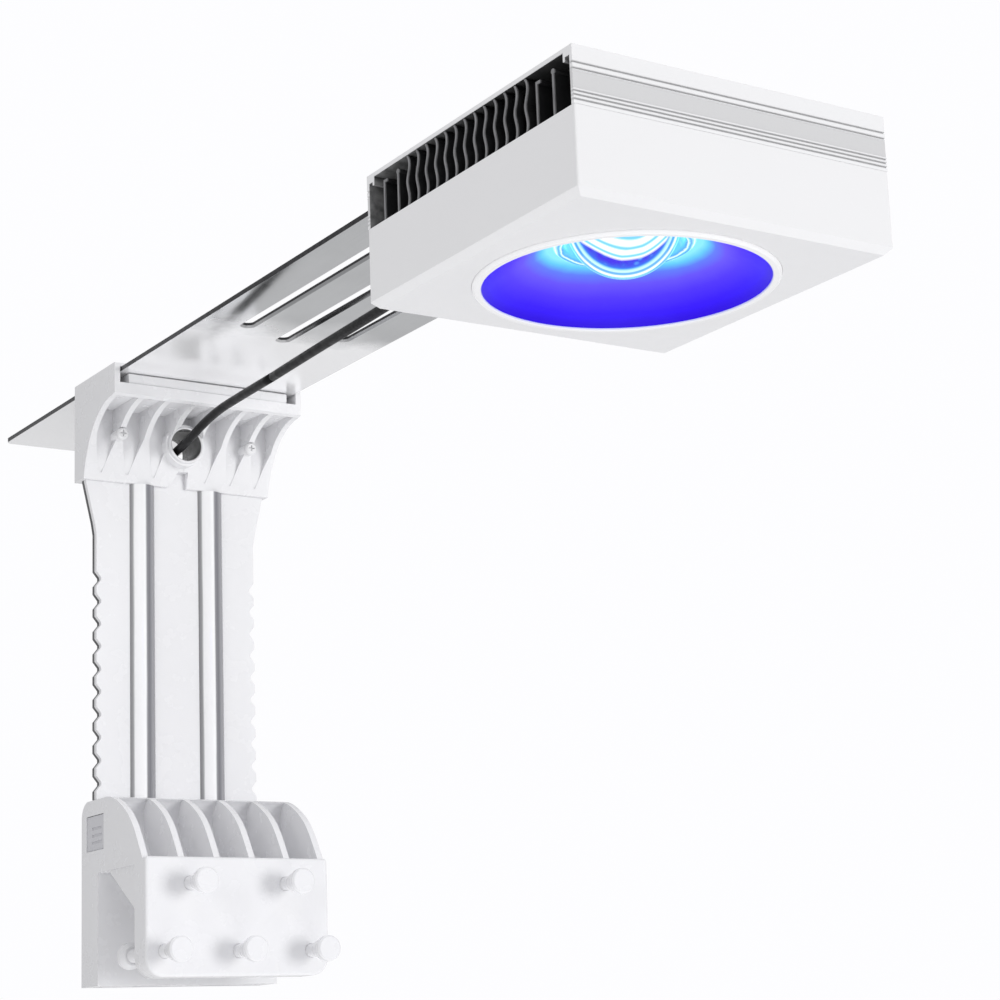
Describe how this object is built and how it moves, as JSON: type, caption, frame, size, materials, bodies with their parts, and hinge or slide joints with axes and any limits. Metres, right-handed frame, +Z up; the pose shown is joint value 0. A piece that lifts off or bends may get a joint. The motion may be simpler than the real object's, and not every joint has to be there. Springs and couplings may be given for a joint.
{
  "type": "clip-on aquarium lamp",
  "caption": "Clip-on aquarium lamp: a square finned lamp head on a slotted sliding arm, a height-adjustable toothed post and a screw clamp for the tank's rim.",
  "frame": {"origin": "middle of the clamp's seat, which rests on top of the tank's rim", "axes": "+Z up; -Y over the water, from the clamp towards the lamp head; +X along the rim"},
  "size_m": [0.125, 0.5085, 0.2674],
  "materials": {
    "white_plastic": "gloss",
    "grey_plastic": "satin",
    "white_paint": "satin",
    "polished_steel": "polished",
    "polished_rail": "polished",
    "zinc_steel": "satin",
    "nickel": "polished",
    "black_anodised": "matte",
    "black_plastic": "matte",
    "cable_jacket": "satin",
    "tie_plastic": "matte",
    "lit_reflector": "satin",
    "lit_ring": "gloss",
    "lit_lens": "polished",
    "board_white": "satin",
    "board_green": "satin",
    "component_dark": "satin",
    "led_phosphor": "gloss",
    "thermal_grey": "matte"
  },
  "bodies": {
    "rim_clamp": {"rim_clamp_body": "white_plastic", "detent_clip_left": "grey_plastic", "detent_clip_right": "grey_plastic"},
    "post": {"post_board": "white_plastic", "post_rail_left": "polished_rail", "post_rail_right": "polished_rail", "arm_bracket": "white_plastic", "arm_clamp_bar": "white_plastic", "bar_set_screws": "zinc_steel", "bracket_screws": "white_paint", "cable_bush": "white_plastic", "lead_rear": "cable_jacket", "lead_coil": "cable_jacket", "coil_tie": "tie_plastic", "lead_tail": "cable_jacket", "plug_body": "cable_jacket", "plug_barrel": "nickel"},
    "arm": {"arm_plate": "polished_steel"},
    "head": {"head_cover": "white_paint", "heat_sink": "black_anodised", "lower_housing": "white_paint", "bezel_ring": "white_paint", "reflector": "lit_reflector", "lens_holder": "lit_ring", "lens": "lit_lens", "led_board": "board_white", "led_chips": "led_phosphor", "thermal_pad": "thermal_grey", "driver_board": "board_green", "driver_parts": "component_dark", "head_bolts": "zinc_steel", "clinch_nuts": "zinc_steel", "slide_strips": "white_paint", "housing_screws": "zinc_steel", "cable_gland": "black_plastic", "gland_nut": "black_plastic", "lead_front": "cable_jacket"},
    "foot_1": {"pressure_foot_1": "white_plastic"},
    "screw_1": {"thumb_screw_1": "white_plastic"},
    "foot_2": {"pressure_foot_2": "white_plastic"},
    "screw_2": {"thumb_screw_2": "white_plastic"},
    "foot_3": {"pressure_foot_3": "white_plastic"},
    "screw_3": {"thumb_screw_3": "white_plastic"},
    "foot_4": {"pressure_foot_4": "white_plastic"},
    "screw_4": {"thumb_screw_4": "white_plastic"},
    "foot_5": {"pressure_foot_5": "white_plastic"},
    "screw_5": {"thumb_screw_5": "white_plastic"}
  },
  "joints": [
    {"name": "post_slide", "type": "slide", "parent": "rim_clamp", "child": "post", "axis": [0, 0, 1], "range_m": [-0.11, 0.04]},
    {"name": "arm_slide", "type": "slide", "parent": "post", "child": "arm", "axis": [0, 1, 0], "range_m": [-0.08, 0.07], "deforming": ["lead_rear"]},
    {"name": "head_slide", "type": "slide", "parent": "arm", "child": "head", "axis": [0, 1, 0], "range_m": [-0.004, 0.12], "deforming": ["lead_front"]},
    {"name": "foot_1_slide", "type": "slide", "parent": "rim_clamp", "child": "foot_1", "axis": [0, 1, 0], "range_m": [-0.0195, 0.005]},
    {"name": "screw_1_turn", "type": "hinge", "parent": "foot_1", "child": "screw_1", "pos_m": [-0.022, -0.012, -0.0082], "axis": [0, 1, 0], "range_deg": [-3540, 930]},
    {"name": "foot_2_slide", "type": "slide", "parent": "rim_clamp", "child": "foot_2", "axis": [0, 1, 0], "range_m": [-0.0195, 0.005]},
    {"name": "screw_2_turn", "type": "hinge", "parent": "foot_2", "child": "screw_2", "pos_m": [0.022, -0.012, -0.0082], "axis": [0, 1, 0], "range_deg": [-3540, 930]},
    {"name": "foot_3_slide", "type": "slide", "parent": "rim_clamp", "child": "foot_3", "axis": [0, 1, 0], "range_m": [-0.0195, 0.005]},
    {"name": "screw_3_turn", "type": "hinge", "parent": "foot_3", "child": "screw_3", "pos_m": [-0.0336, -0.012, -0.0357], "axis": [0, 1, 0], "range_deg": [-3540, 930]},
    {"name": "foot_4_slide", "type": "slide", "parent": "rim_clamp", "child": "foot_4", "axis": [0, 1, 0], "range_m": [-0.0195, 0.005]},
    {"name": "screw_4_turn", "type": "hinge", "parent": "foot_4", "child": "screw_4", "pos_m": [0, -0.012, -0.0357], "axis": [0, 1, 0], "range_deg": [-3540, 930]},
    {"name": "foot_5_slide", "type": "slide", "parent": "rim_clamp", "child": "foot_5", "axis": [0, 1, 0], "range_m": [-0.0195, 0.005]},
    {"name": "screw_5_turn", "type": "hinge", "parent": "foot_5", "child": "screw_5", "pos_m": [0.0336, -0.012, -0.0357], "axis": [0, 1, 0], "range_deg": [-3540, 930]}
  ],
  "couplings": [
    {"joint": "screw_1_turn", "follows": "foot_1_slide", "rad_per_m": 3141.6},
    {"joint": "screw_2_turn", "follows": "foot_2_slide", "rad_per_m": 3141.6},
    {"joint": "screw_3_turn", "follows": "foot_3_slide", "rad_per_m": 3141.6},
    {"joint": "screw_4_turn", "follows": "foot_4_slide", "rad_per_m": 3141.6},
    {"joint": "screw_5_turn", "follows": "foot_5_slide", "rad_per_m": 3141.6}
  ]
}
